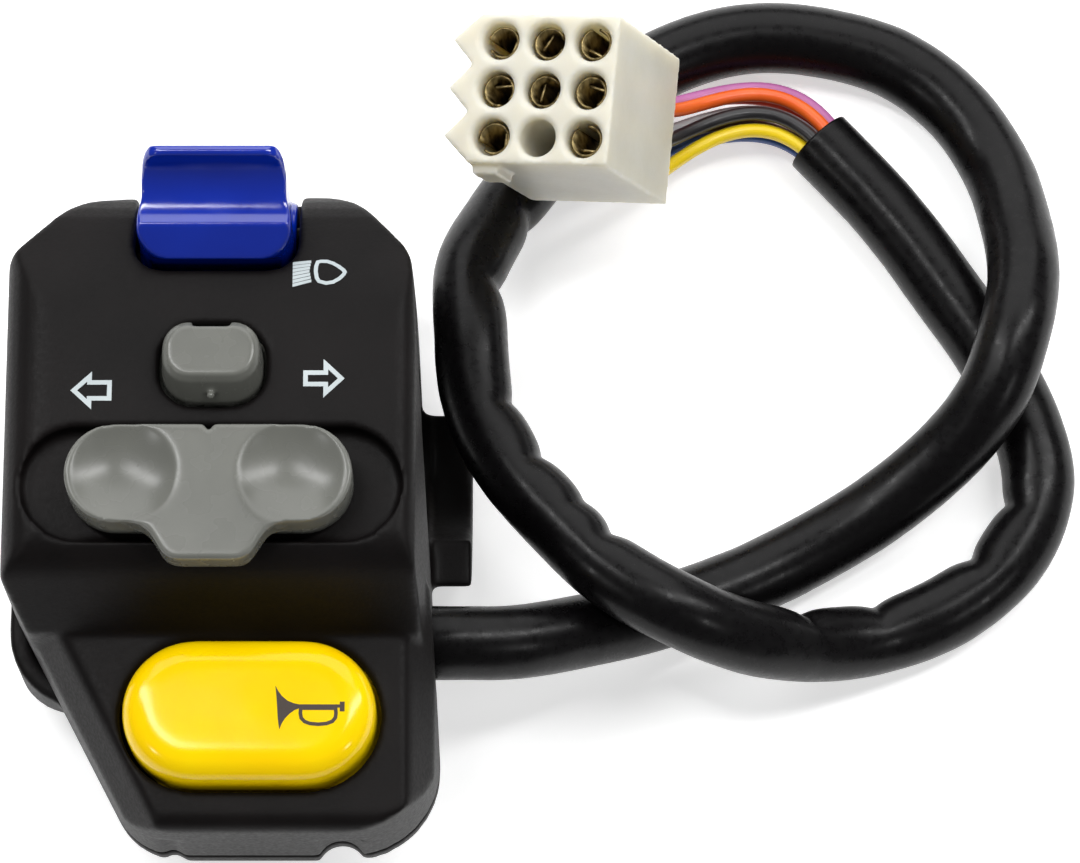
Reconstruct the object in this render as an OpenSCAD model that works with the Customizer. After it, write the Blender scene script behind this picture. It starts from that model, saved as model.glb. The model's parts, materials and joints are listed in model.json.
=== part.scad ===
// Handlebar switch cluster for a small motorcycle, lying on its back.
// X runs along the handlebar, Y up the face and Z out of the face.
// The origin is on the bar axis, in the middle of the clamp.

/* [Handlebar clamp] */
// Diameter of the handlebar in the clamp
bar_d = 22.2; // [20:0.1:25.4]
// Radial clearance of the clamp bore on the bar
bar_clear = 0.05; // [0:0.01:0.15]
// Gap between the two halves when they are tight
parting_gap = 0.3; // [0.1:0.05:0.6]
// Wall between the bar and the switch room
tunnel_wall = 1.8; // [1.4:0.1:2.2]
// Wall of the rear saddle under the bar
saddle_wall = 3.2; // [2.8:0.1:4]
// Reach of the inboard collar past the body side
collar_len = 5; // [3:0.5:6]
// Wall of the inboard collar
collar_wall = 5.2; // [3:0.1:6]
// Depth of the collar's upper face below the bar axis
collar_drop = 6; // [6:0.25:8]
// Thread diameter of the clamp screws
clamp_screw_d = 3.5; // [3:0.25:3.75]

/* [Housing] */
// Width of the body outboard of the centre
outboard_w = 22; // [21:0.25:26]
// Width of the body inboard of the centre, at the bar
inboard_w = 20.3; // [19.5:0.1:20.5]
// Widening of the inboard side from top to bottom
inboard_flare = 3.8; // [2:0.1:4]
// Height of the body above the bar
top_rise = 12; // [11.5:0.25:14]
// Height from the bar down to the horn step
step_drop = 13.9; // [13.5:0.1:16]
// Height of the horn panel below the step
panel_h = 19.7; // [19.6:0.1:24]
// Height of the face above the bar
face_rise = 12.9; // [12.8:0.1:15]
// Drop from the face to the horn panel
panel_step = 9.7; // [9:0.1:9.9]
// Depth of the back below the bar
back_rise = 4.9; // [4.6:0.1:7]
// Wall thickness of both halves
wall = 2.2; // [1.8:0.1:2.4]
// Width of the cut inboard upper corner
inner_corner = 5.6; // [4:0.1:6.5]
// Width of the cut outboard upper corner
outer_corner = 7.8; // [6.5:0.1:8.2]
// Rounding of the face edge along the inboard side
edge_r = 2.2; // [1:0.1:3]
// Rounding of the face edge along the outboard side
outboard_edge_r = 4.5; // [2:0.25:5]
// Slope of the brow above the face, in degrees
brow_slope = 24; // [18:1:28]
// Lean of the sides towards the face
side_draft = 1; // [0.5:0.1:1.4]
// Extra lean of the outboard side
outboard_draft = 0.5; // [0:0.1:0.8]
// Width of the bevel round the horn panel
bevel_w = 3; // [2:0.1:3.2]

/* [Headlamp rocker] */
// Width of the blue rocker at its foot
rocker_w = 15.4; // [14.4:0.2:15.8]
// Width of the rocker's paddle
paddle_w = 14.2; // [12:0.2:14.4]
// Side clearance of the rocker in its slot
rocker_gap = 0.5; // [0.4:0.05:0.7]
// Height of the paddle above its pivot
paddle_h = 14.8; // [14:0.1:17]
// Swing of the rocker each way, in degrees
rocker_swing = 5; // [3:0.5:6]
// Diameter of the rocker's pivot pin
pivot_d = 2.5; // [2:0.1:3]

/* [Turn slider] */
// Width of the winged knob
knob_w = 28.2; // [24:0.2:29]
// Height of the wings
wing_h = 9.9; // [8:0.1:10.2]
// Length of the thumb tongue below the wings
tongue_len = 3.8; // [2:0.1:4.4]
// Width of the thumb tongue
tongue_w = 7.8; // [6:0.2:9]
// Rise of the knob's middle above the face
knob_rise = 4; // [3:0.1:5]
// Travel of the slider each way
slide_travel = 4.2; // [3:0.1:4.4]
// Depth of the pocket below the face
pocket_depth = 1.8; // [1.4:0.1:2]

/* [Cancel button] */
// Width of the cancel button
cancel_w = 10; // [8:0.1:11]
// Height of the cancel button
cancel_h = 7.8; // [6:0.1:8]
// Rise of the cancel button above the face
cancel_rise = 3.4; // [2.6:0.1:4.5]
// Travel of the cancel button
cancel_travel = 2; // [1:0.1:2.2]

/* [Horn button] */
// Length of the horn button
horn_w = 25.2; // [22:0.2:25.6]
// Height of the horn button
horn_h = 14.4; // [12:0.1:15]
// Rise of the horn button above its panel
horn_rise = 4.2; // [3:0.1:6]
// Rounding of the horn button's top edge
horn_round = 2.6; // [1:0.1:3]
// Travel of the horn button
horn_travel = 2; // [1:0.1:2.2]

/* [Harness] */
// Diameter of the harness sleeve
sleeve_d = 7.6; // [6.6:0.1:7.8]
// Diameter of one insulated wire
wire_d = 1.5; // [1:0.1:1.6]
// Pitch of the connector's cavities
pin_pitch = 5.03; // [4.6:0.01:5.4]
// Length of the connector
connector_len = 19.2; // [16:0.2:22]

/* [Hidden] */
$fn = 48;

// Levels of the housing
bar_r = bar_d / 2;
bore_r = bar_r + bar_clear;
top_y = bar_r + top_rise;
step_y = -bar_r - step_drop;
bottom_y = step_y - panel_h;
face_z = bar_r + face_rise;
panel_z = face_z - panel_step;
panel_tilt = 0.3;
back_z = -bar_r - back_rise;
seam_z = parting_gap / 2;
inner_top_z = face_z - wall;
below = -6;
far = 60;
run_gap = 0.3;

// Outline and sections of the housing
crease_drop = 14.8;
crease_r = 14;
crease_y = top_y - crease_drop;
top_draft = 2.8;
top_round = 10;
crown_lean = 6.5;
crown_r = 7;
crown_side = 6;
shoulder_y = top_y - top_draft;
shoulder_z = face_z - (shoulder_y - crease_y) * tan(brow_slope);
brow_rise = 5.7;
brow_y = step_y + brow_rise;
slant_drop = 7.4;
slant_y = -bar_r - slant_drop;
foot_in = 13.8;
foot_x = -outboard_w + foot_in;
rear_drop = 18.1;
rear_low_y = -bar_r - rear_drop;
back_low = 8.4;
back_high = 3.9;
back_side = 4;
top_lean = 0.6;
cover_t = 2.4;
bevel_drop = 5.5;
tongue_lap = 6;
collar_top_y = 5;
collar_relief = 0.6;
notch_top = 8;
// Notches in the bottom wall: place, width and depth
notches = [[-4.6, 2.6, 0.6], [12.4, 4.8, 1.5]];
slant_angle = atan2(foot_x + outboard_w, slant_y - bottom_y);

// Clamp screws, in from the back
clamp_head_r = clamp_screw_d * 0.85;
clamp_head_h = clamp_screw_d * 0.75;
clamp_head_gap = 0.3;
clamp_seat_z = -7.5;
clamp_hole_gap = 0.2;
insert_wall = 0.8;
insert_r = clamp_screw_d / 2 + insert_wall;
insert_len = 7.6;
boss_wall = 0.9;
boss_r = insert_r + boss_wall;
boss_roof = 0.8;
boss_top = seam_z + insert_len + boss_roof;
thread_gap = 0.03;

// Contact bases and their screws
base_t = 2;
base_screw_r = 0.8;
base_head_r = 1.6;
base_head_h = 1.4;
pilot_gap = 0.02;
pilot_end = 0.2;
base_hole_gap = 0.1;
base_grip = 5;
horn_grip = 3;
screw_slot = [2.4, 0.5, 0.6];
horn_bracket_w = 1.9;
rivet_r = 0.9;
rivet_head_r = 1.2;
rivet_tail = 0.6;
rivet_tail_r = 1.1;

// Headlamp rocker and its contacts
pivot_rise = 4.6;
pivot_y = bar_r + pivot_rise;
pivot_drop = 8.5;
pivot_z = face_z - pivot_drop;
pivot_run = 0.04;
paddle_reach = 4.3;
paddle_corner = 2.6;
paddle_deep = 5.8;
paddle_flare = [-1.5, 1];
apron_h = 7.6;
apron_lip = [0.6, 1.2];
slot_room = 0.6;
slot_y = pivot_y - paddle_reach * cos(rocker_swing) - apron_h * sin(rocker_swing) - slot_room;
slot_x = rocker_w / 2 + rocker_gap;
slot_drop = 4.2;
slot_floor_z = pivot_z - slot_drop;
slot_r = 3;
apron_r = 3.3;
cheek_x = slot_x + run_gap;
cheek_t = 2.4;
cheek_low = 3.2;
cheek_high = 2.6;
cheek_y0 = pivot_y - cheek_low;
cheek_y1 = pivot_y + cheek_high;
hub_r = 3.8;
leg_x = 2.6;
leg_y = 1.9;
leg_len = 4.9;
leg_bottom_z = pivot_z - leg_len;
plunger_r = 1.2;
plunger_gap = 0.1;
plunger_drop = 5.9;
plunger_tip_z = pivot_z - plunger_drop;
plunger_len = 2.4;
plunger_roof = 1.7;
plunger_bore_z = pivot_z - plunger_roof;
dip_base_drop = 10.3;
dip_base_x = cheek_x + cheek_t;
dip_base_z = pivot_z - dip_base_drop;
dip_base_top = dip_base_z + base_t;
dip_base_in = 0.2;
dip_base_cut = 1;
dip_screw_x = cheek_x + cheek_t / 2;
dip_screw_in = 0.4;
dip_screw_y = pivot_y + dip_screw_in;
tilt_rise = 1.3;
tilt_z = dip_base_top + tilt_rise;
tilt_pin_r = 0.7;
tilt_pin_gap = 0.05;
tilt_pin_end = 2.2;
tilt_lift = 0.1;
tilt_x = 4;
tilt_y = 2.9;
tilt_t = 0.6;
dip_rivet_y = 2;
dip_tab = [5, 3.2];
dip_rivet_h = 0.6;
tilt_post_gap = 0.5;
tilt_post_w = 1.8;
tilt_post_h = 3.2;
tilt_post_top = 1.4;

// Places of the clamp screws, with the outboard one clear of the headlamp base
clamp_in = 7;
clamp_above = 3.6;
clamp_below = 5.2;
clamp_inboard_x = 9;
clamp_spots = [
    [min(clamp_in - outboard_w, -dip_base_x - boss_r - run_gap), bar_r + clamp_above],
    [clamp_inboard_x, -bar_r - clamp_below]];

// Turn slider, its pocket and its carriage
pocket_drop = 1;
pocket_y = -bar_r - pocket_drop;
pocket_end = 0.5;
pocket_w = knob_w + 2 * (slide_travel + pocket_end);
pocket_side = 0.8;
pocket_h = wing_h + 2 * pocket_side;
pocket_z = face_z - pocket_depth;
pocket_floor_t = 2;
pocket_rim = 2.4;
pocket_under_z = pocket_z - pocket_floor_t;
knob_lift = 0.4;
knob_under_z = pocket_z + knob_lift;
tongue_under_z = face_z + knob_lift;
knob_top_z = face_z + knob_rise;
scoop_r = 10;
scoop_sink = 1.5;
scoop_in = 5.9;
tongue_flare = 2.3;
tongue_fillet = 3;
tongue_corner = 2.2;
tip_gap = 0.02;
stem_x = 3;
stem_y = 2.2;
stem_gap = 0.35;
carriage_x = 7;
carriage_y = 4.4;
carriage_h = 3.9;
carriage_top_z = pocket_under_z - run_gap;
carriage_z = carriage_top_z - carriage_h;
bridge_t = 0.5;
turn_rivet_top = carriage_z - bridge_t - run_gap;
turn_base_drop = 1.8;
turn_base_top = carriage_z - turn_base_drop;
turn_base_z = turn_base_top - base_t;
turn_base_gap = 0.78;
turn_base_x = min(outboard_w - outboard_draft, right_x(pocket_y)) - wall - turn_base_gap;
turn_post_in = 2.1;
turn_post_x = turn_base_x - turn_post_in;
post_r = 2.3;
turn_rivet_x = 5;
turn_bridge_y = 2.9;
ball_r = 1.2;
ball_x = 3.6;
ball_y = -2.4;
ball_gap = 0.1;
ball_lift = 0.2;
ball_z = turn_base_top + ball_lift + ball_r;
ball_bore_h = 3.2;
carriage_head_r = 1.6;
carriage_head_h = 1.3;
carriage_head_lift = 0.2;
carriage_screw_r = 0.9;
carriage_screw_len = 6;
carriage_hole_gap = 0.1;
screw_end_gap = 0.6;
turn_base_low = 5.4;
turn_base_high = 4.8;
cup_gap = 0.4;

// Cancel button
cancel_y = 0;
cancel_gap = 0.35;
cancel_seat_h = 0.4;
cancel_seat_z = bar_r + tunnel_wall + cancel_seat_h;
cancel_flange_drop = 1.7;
cancel_flange_z = inner_top_z - cancel_flange_drop;
cancel_flange_t = 1.3;
cancel_flange = 0.7;
cancel_pin_r = 1.2;
cancel_round = 0.42;
cancel_crown = 0.7;
cancel_lean = 0.5;
cancel_notch = [3.7, 2, 8];

// Horn button
horn_drop = 8.3;
horn_y = step_y - horn_drop;
horn_in = 0.43;
horn_x = (slant_in(horn_y) + right_x(horn_y) - wall) / 2 - horn_in;
horn_gap = 0.4;
horn_base_z = 2.2;
horn_base_top = horn_base_z + base_t;
horn_flange_gap = 0.4;
horn_flange_top = panel_z - wall - panel_tilt - horn_flange_gap;
horn_flange_t = 1.2;
horn_flange_z = horn_flange_top - horn_flange_t;
horn_flange = 0.8;
horn_flange_in = 4.9;
horn_pin_r = 2;
horn_tab_y = 2.8;
horn_tab_gap = 0.37;
// Reach of the horn base to each side: to the slanted wall, and inboard
horn_tabs = [horn_x - slant_in(horn_y - horn_tab_y) - horn_tab_gap, 13.4];
horn_plate_x = 8.6;
horn_plate_y = 6;
horn_screw_in = 1.7;
horn_screws = [horn_x - horn_tabs[0] + horn_screw_in, horn_x + horn_tabs[1] - horn_screw_in];
horn_bracket_top = horn_flange_z - horn_travel - run_gap;
horn_bridge_y = 4.6;
horn_rivet_x = 5;
horn_bridge_x = 6.4;
horn_bridge_half = 1.2;
horn_bridge_drop = 1;
horn_leg_x = 3;
horn_leg_r = 1;
horn_contact_gap = 0.4;

// Springs: mean radius, wire and turns
cancel_coil = [2.3, 0.5, 5];
horn_coil = [2.9, 0.6, 4.5];
detent_coil = [0.85, 0.35, 2.5];
plunger_coil = [0.85, 0.3, 2];
coil_sides = 6;
coil_steps = 8;
coil_end_gap = 0.05;

// Harness: where it leaves the wall, and its route over the table
cable_drop = 11.4;
cable_y = -bar_r - cable_drop;
tie_in = 5.56;
tie_x = right_x(cable_y) - tie_in;
cable_end = 1.5;
cable_in_x = tie_x - cable_end;
cable_gap = 0.3;
tie_w = 2.6;
tie_t = 0.9;
tie_gap = 0.05;
tie_head = [2.6, 3.6, 3];
tie_pocket = 0.5;
sleeve_sides = 10;
sleeve_steps = 2;
sleeve_route = [
    [cable_in_x, cable_y, 0], [tie_x + 1, cable_y, 0], [tie_x + 3.5, cable_y, 0],
    [tie_x + 7.5, cable_y, 0],
    [30, -22, -1.6], [37, -20, -5], [44, -17.5, -8.4],
    [51, -14.5, -10.9], [58.5, -10.8, -12.1], [67, -6, -11.2], [74.5, -0.5, -8.4], [79.5, 5, -5],
    [82, 11.5, -3.6], [83.4, 18.5, -5.2], [83, 25.5, -8.2], [81.2, 33, -11], [77, 40, -12.2],
    [70.5, 45, -12.2], [62, 47.5, -12.2], [53.5, 47.6, -12.2], [45.5, 44.8, -12.2], [38.5, 40, -12],
    [32.5, 33, -10.8], [28.2, 26, -7.6], [25.2, 19, -4], [25.1, 11.5, -2.2], [25.9, 4, -1.8],
    [29, -3, -1], [34, -9.4, 0.1], [40, -15.4, 0.8], [47, -19.3, 0.2], [54, -21, -4],
    [61, -20.6, -9], [68, -19, -12], [75.5, -16, -12.2], [82, -10.3, -12.2], [85, -3, -12.2],
    [84, 4, -12.2], [80.6, 11.5, -12.2], [75.6, 19.3, -12.2], [69.5, 28, -12.2], [62.4, 36, -12.2]];
sleeve_end = sleeve_route[len(sleeve_route) - 1];
sleeve_way = unit(sleeve_end - sleeve_route[len(sleeve_route) - 2]);

// Connector: middle of its back, and how it is turned
plug_at = [39.1, 33.4, -1];
plug_turn = [8.6, -19.2, -8.5];
plug_half = 1.5 * pin_pitch + 0.3;
plug_tooth = 2.4;
plug_lead = 0.6;
latch_x = [-7, -4.2];
latch_h = 1;
latch_z = [5.2, 0.7];
cavity_r = 1.95;
cavity_mouth = 0.35;
cavity_floor = 2.5;
socket_r = 1.65;
socket_bore_r = 1.1;
socket_in = 1.2;
socket_back = 4;
wire_sides = 8;
wire_steps = 12;
wire_ring = 2.15;
wire_pull = 12;
wire_drop = 10;
wire_sag = 3;
wire_gather = 0.42;
wire_fan = 1;
wire_end_gap = 0.15;
empty_cavity = [0, -1];

// Colours
c_shell = "#232022";
c_blue = "#0a2390";
c_grey = "#8b8b84";
c_yellow = "#ffe000";
c_brass = "#c9a24a";
c_steel = "#b9bcc0";
c_base = "#5a3a22";
c_sleeve = "#141214";
c_nylon = "#e9e8e0";

// Plane geometry
function unit(v) = v / norm(v);
function xy(p) = [p[0], p[1]];
function side_normal(p, q) = let (d = unit(q - p)) [-d[1], d[0]];
function corner_arc(p0, p1, p2, r, n) =
    let (
        a = unit(p0 - p1),
        b = unit(p2 - p1),
        half = acos(a * b) / 2,
        c = p1 + unit(a + b) * (r / sin(half)),
        s = p1 + a * (r / tan(half)) - c,
        e = p1 + b * (r / tan(half)) - c,
        a0 = atan2(s[1], s[0]),
        turn = (atan2(e[1], e[0]) - a0 + 540) % 360 - 180)
    [for (i = [0:n]) c + r * [cos(a0 + turn * i / n), sin(a0 + turn * i / n)]];
// A closed outline of corners [x, y, radius], with each corner made an arc
function rounded(c, n = 6) =
    let (m = len(c))
    [for (i = [0:m - 1]) each c[i][2] == 0
        ? [xy(c[i])]
        : corner_arc(xy(c[(i + m - 1) % m]), xy(c[i]), xy(c[(i + 1) % m]), c[i][2], n)];
// The same corners moved inwards by k, for a list that runs anticlockwise
function inset(c, k) =
    let (m = len(c))
    [for (i = [0:m - 1])
        let (
            p = xy(c[i]),
            n1 = side_normal(xy(c[(i + m - 1) % m]), p),
            n2 = side_normal(p, xy(c[(i + 1) % m])),
            q = p + k * (n1 + n2) / (1 + n1 * n2))
        [q[0], q[1], c[i][2] == 0 ? 0 : max(c[i][2] - k, 0.3)]];
function right_x(y) = inboard_w - inboard_flare * y / (top_y - bottom_y);
function slant_in(y) = (slant_y - y) * tan(slant_angle) - outboard_w + wall / cos(slant_angle);

front_outline = [
    [top_lean - outboard_w, top_y, 0], [-outboard_w, slant_y, 12], [foot_x, bottom_y, 7],
    [right_x(bottom_y), bottom_y, 9], [right_x(top_y), top_y, 0]];
// The top edge with its two cut corners, seen along the face
crown_outline = [
    [-outboard_w - crown_side, -far, 0], [inboard_w + crown_side, -far, 0],
    [right_x(top_y) + 0.5, top_y - inner_corner - 2.7, 5],
    [right_x(top_y) - inner_corner, top_y - 1.4, crown_r], [0, top_y - 0.7, 0],
    [outer_corner - outboard_w, top_y - 2, crown_r],
    [0.7 - outboard_w, top_y - outer_corner - 1.7, 5]];
body_profile = [
    [step_y, below, 0], [top_y, below, 0], [shoulder_y, shoulder_z, top_round], [crease_y, face_z, crease_r],
    [brow_y, face_z, 6], [step_y, panel_z, 0]];
tongue_profile = [
    [bottom_y, below, 0], [step_y + tongue_lap, below, 0], [step_y + tongue_lap, panel_z, 0],
    [bottom_y, panel_z - panel_tilt, 1.8]];
body_cross = [
    [-outboard_w - side_draft, below, 0], [right_x(pocket_y) + side_draft, below, 0],
    [right_x(pocket_y) - side_draft, face_z, edge_r],
    [-outboard_w + side_draft + outboard_draft, face_z, outboard_edge_r]];
tongue_cross = [
    [-far, below, 0], [right_x(horn_y) + 0.4, below, 0],
    [right_x(horn_y) - 0.3, panel_z - bevel_drop, 3],
    [right_x(horn_y) - bevel_w, panel_z + 0.1, 2.2], [-far, panel_z + 0.1, 0]];
slant_cross = [
    [-0.4, below, 0], [far, below, 0], [far, panel_z + 0.1, 0], [bevel_w, panel_z + 0.1, 2.2],
    [0.3, panel_z - bevel_drop, 3]];
rear_outline = [
    [top_lean - outboard_w, top_y, 0], [-outboard_w, rear_low_y, 8],
    [right_x(rear_low_y), rear_low_y, 2], [right_x(top_y), top_y, 0]];
rear_profile = [
    [rear_low_y, -5, 5], [-bar_r - back_low, back_z, 8], [bar_r + back_high, back_z, 8], [top_y, -6, 5],
    [top_y, -below, 0], [rear_low_y, -below, 0]];
rear_cross = [
    [back_side - outboard_w, back_z, 4], [right_x(0) - back_side, back_z, 4],
    [right_x(0) + side_draft, -9, 4],
    [right_x(0) + side_draft + 1, -below, 0], [-outboard_w - 1, -below, 0], [-outboard_w, -9, 4]];

// Space geometry
module along_x(x0, x1) {
    translate([x0, 0, 0]) rotate([90, 0, 90]) linear_extrude(x1 - x0) children();
}
module along_y(y0, y1) {
    translate([0, y1, 0]) rotate([90, 0, 0]) linear_extrude(y1 - y0) children();
}
module rod_x(x0, x1, r, y, z) {
    translate([x0, y, z]) rotate([0, 90, 0]) cylinder(h = x1 - x0, r = r);
}
module rod_z(x, y, z0, z1, r) {
    translate([x, y, z0]) cylinder(h = z1 - z0, r = r);
}
module block(x0, x1, y0, y1, z0, z1) {
    translate([x0, y0, z0]) cube([x1 - x0, y1 - y0, z1 - z0]);
}
// A plate with round ends, w wide and h high
module stadium(w, h) {
    square([w - h, h], center = true);
    for (s = [-1, 1]) translate([s * (w - h) / 2, 0]) circle(h / 2);
}
module round_rect(w, h, r) {
    polygon(rounded([
        [-w / 2, -h / 2, r], [w / 2, -h / 2, r], [w / 2, h / 2, r], [-w / 2, h / 2, r]]));
}
// A closed round tube along a path, made of triangles
module tube(path, d, sides) {
    n = len(path);
    function way(i) = unit(path[min(i + 1, n - 1)] - path[max(i - 1, 0)]);
    function across(i) = unit(cross(way(i), [0, 0, 1]));
    rings = [for (i = [0:n - 1]) let (u = across(i), v = cross(u, way(i)))
        for (k = [0:sides - 1]) let (a = 360 * k / sides)
            path[i] + d / 2 * (cos(a) * u + sin(a) * v)];
    walls = [for (i = [0:n - 2], k = [0:sides - 1])
        let (a = i * sides + k, b = i * sides + (k + 1) % sides)
        each [[a, b, b + sides], [a, b + sides, a + sides]]];
    last = (n - 1) * sides;
    ends = [for (k = [1:sides - 2]) each [[0, k + 1, k], [last, last + k, last + k + 1]]];
    polyhedron(rings, concat(walls, ends));
}
// A smooth path through given points
function smooth(p, steps) =
    let (m = len(p))
    concat([for (i = [0:m - 2], j = [0:steps - 1])
        let (
            a = p[max(i - 1, 0)], b = p[i], c = p[i + 1], d = p[min(i + 2, m - 1)], t = j / steps)
        ((2 * b) + (c - a) * t + (2 * a - 5 * b + 4 * c - d) * t * t
            + (3 * b - a - 3 * c + d) * t * t * t) / 2], [p[m - 1]]);
// A helical compression spring from z0 up to z1
module coil(x, y, z0, z1, spec) {
    low = z0 + spec[1] / 2 + coil_end_gap;
    high = z1 - spec[1] / 2 - coil_end_gap;
    count = spec[2] * coil_steps;
    tube([for (i = [0:count]) let (a = 360 * i / coil_steps)
        [x + spec[0] * cos(a), y + spec[0] * sin(a), low + (high - low) * i / count]],
        spec[1], coil_sides);
}
// A contact rivet through a base whose underside is at z
module rivet(x, y, z, head_h) {
    rod_z(x, y, z - rivet_tail, z, rivet_tail_r);
    rod_z(x, y, z, z + base_t, rivet_r);
    rod_z(x, y, z + base_t, z + base_t + head_h, rivet_head_r);
}
// The driver's slot in a screw head that faces down at z
module driver_slot(x, y, z) {
    translate([x, y, z]) cube([screw_slot[0], screw_slot[1], 2 * screw_slot[2]], center = true);
}
// A self-tapping screw whose head sits under a base at z
module base_screw(x, y, z, len) {
    difference() {
        rod_z(x, y, z - base_head_h, z, base_head_r);
        driver_slot(x, y, z - base_head_h);
    }
    rod_z(x, y, z, z + len, base_screw_r);
}

module bottom_notches() {
    for (n = notches) translate([n[0], bottom_y + n[2] - n[1] / 2, below])
        cylinder(h = notch_top - below, d = n[1]);
}

module crown(k) {
    translate([0, 0, -far]) linear_extrude(2 * far) polygon(rounded(inset(crown_outline, k), 8));
}

// Front half
module front_form(k, z0) {
    intersection() {
        translate([0, 0, z0]) linear_extrude(far) polygon(rounded(inset(front_outline, k), 8));
        along_x(-far, far) polygon(rounded(inset(body_profile, k)));
        along_y(-far, far) polygon(rounded(inset(body_cross, k)));
        rotate([crown_lean, 0, 0]) crown(k);
    }
    intersection() {
        translate([0, 0, z0]) linear_extrude(far) polygon(rounded(inset(front_outline, k), 8));
        along_x(-far, far) polygon(rounded(inset(tongue_profile, k)));
        along_y(-far, far) polygon(rounded(inset(tongue_cross, k)));
        translate([-outboard_w, slant_y, 0])
            rotate([0, 0, slant_angle]) along_y(-far, far) polygon(rounded(inset(slant_cross, k)));
    }
}
module front_fittings() {
    rod_x(-far, far, bar_r + tunnel_wall, 0, 0);
    translate([0, pocket_y, pocket_under_z]) linear_extrude(far)
        stadium(pocket_w + pocket_rim, pocket_h + pocket_rim);
    for (s = [-1, 1]) {
        rod_z(s * turn_post_x, pocket_y, turn_base_top, face_z, post_r);
        translate([s * (cheek_x + cheek_t / 2), 0, 0]) block(
            -cheek_t / 2, cheek_t / 2, cheek_y0, cheek_y1, dip_base_top, face_z);
    }
    block(-far, horn_screws[0] + horn_bracket_w, horn_y - horn_tab_y, horn_y + horn_tab_y,
        horn_base_top, horn_bracket_top);
    block(horn_screws[1] - horn_bracket_w, far, horn_y - horn_tab_y, horn_y + horn_tab_y,
        horn_base_top, horn_bracket_top);
    for (p = clamp_spots) rod_z(p[0], p[1], 0, boss_top, boss_r);
    rod_z(0, cancel_y, 0, cancel_seat_z, cancel_coil[0] + 1);
    rod_z(0, cancel_y, 0, cancel_seat_z + 2, cancel_pin_r);
}
module front_housing() {
    color(c_shell) difference() {
        front_form(0, seam_z);
        difference() {
            front_form(wall, below);
            front_fittings();
        }
        rod_x(-far, far, bore_r, 0, 0);
        translate([0, 0, slot_floor_z]) linear_extrude(far) polygon(rounded([
            [-slot_x, far, 0], [-slot_x, slot_y, slot_r], [slot_x, slot_y, slot_r], [slot_x, far, 0]]));
        translate([0, cancel_y, cancel_flange_z]) linear_extrude(far)
            cancel_plan(cancel_w + 2 * cancel_gap, cancel_h + 2 * cancel_gap);
        translate([0, pocket_y, pocket_z]) linear_extrude(far) stadium(pocket_w, pocket_h);
        block(
            -stem_x - slide_travel - stem_gap, stem_x + slide_travel + stem_gap,
            pocket_y - stem_y - stem_gap, pocket_y + stem_y + stem_gap, carriage_z, face_z);
        translate([horn_x, horn_y, horn_bracket_top]) linear_extrude(far)
            stadium(horn_w + 2 * horn_gap, horn_h + 2 * horn_gap);
        rod_x(cable_in_x, far, sleeve_d / 2 + cable_gap, cable_y, 0);
        rod_x(-dip_screw_x - cheek_t, dip_screw_x + cheek_t, pivot_d / 2 + pilot_gap, pivot_y, pivot_z);
        for (p = clamp_spots) rod_z(p[0], p[1], -1, seam_z + insert_len, insert_r + pilot_gap);
        for (s = [-1, 1]) {
            rod_z(s * dip_screw_x, dip_screw_y, dip_base_z, dip_base_top + base_grip + pilot_end,
                base_screw_r + pilot_gap);
            rod_z(s * turn_post_x, pocket_y, turn_base_z, turn_base_top + base_grip + pilot_end,
                base_screw_r + pilot_gap);
        }
        for (x = horn_screws) rod_z(x, horn_y, horn_base_z, horn_base_top + horn_grip + pilot_end,
            base_screw_r + pilot_gap);
        bottom_notches();
    }
}

// Rear half
module rear_form(k, z1) {
    intersection() {
        translate([0, 0, z1 - far]) linear_extrude(far) polygon(rounded(inset(rear_outline, k), 8));
        along_x(-far, far) polygon(rounded(inset(rear_profile, k)));
        along_y(-far, far) polygon(rounded(inset(rear_cross, k)));
        crown(k);
    }
}
module rear_fittings() {
    rod_x(-far, far, bar_r + saddle_wall, 0, 0);
    for (p = clamp_spots) rod_z(p[0], p[1], back_z, 0, clamp_head_r + clamp_head_gap + 1.4);
}
module rear_housing() {
    color(c_shell) difference() {
        union() {
            rear_form(0, -seam_z);
            intersection() {
                translate([0, 0, -seam_z - cover_t]) linear_extrude(cover_t)
                    polygon(rounded(front_outline, 8));
                block(-far, far, -far, rear_low_y + 4, -far, far);
            }
            intersection() {
                rod_x(0, right_x(0) + collar_len, bar_r + collar_wall, 0, 0);
                block(-far, far, -far, collar_top_y, back_z + 0.4, -collar_drop);
            }
        }
        difference() {
            rear_form(wall, -below);
            rear_fittings();
        }
        rod_x(-far, far, bore_r, 0, 0);
        rod_x(right_x(-bar_r), far, bore_r + collar_relief, 0, 0);
        rod_x(cable_in_x, far, sleeve_d / 2 + cable_gap, cable_y, 0);
        rod_x(tie_x - tie_pocket, tie_x + tie_w + tie_pocket,
            sleeve_d / 2 + tie_t + tie_pocket, cable_y, 0);
        for (p = clamp_spots) {
            rod_z(p[0], p[1], -far, 1, clamp_screw_d / 2 + clamp_hole_gap);
            rod_z(p[0], p[1], -far, clamp_seat_z, clamp_head_r + clamp_head_gap);
        }
        bottom_notches();
    }
}
module clamp_screws() {
    color(c_steel) for (p = clamp_spots) difference() {
        union() {
            rod_z(p[0], p[1], clamp_seat_z - clamp_head_h, clamp_seat_z, clamp_head_r);
            rod_z(p[0], p[1], clamp_seat_z, insert_len - 0.4, clamp_screw_d / 2);
        }
        translate([p[0], p[1], clamp_seat_z - clamp_head_h - 1])
            cylinder(h = 1 + clamp_head_h * 0.6, d = clamp_screw_d * 0.75, $fn = 6);
    }
}
module clamp_inserts() {
    color(c_brass) for (p = clamp_spots) difference() {
        rod_z(p[0], p[1], seam_z, seam_z + insert_len, insert_r);
        rod_z(p[0], p[1], -1, far, clamp_screw_d / 2 + thread_gap);
    }
}

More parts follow.
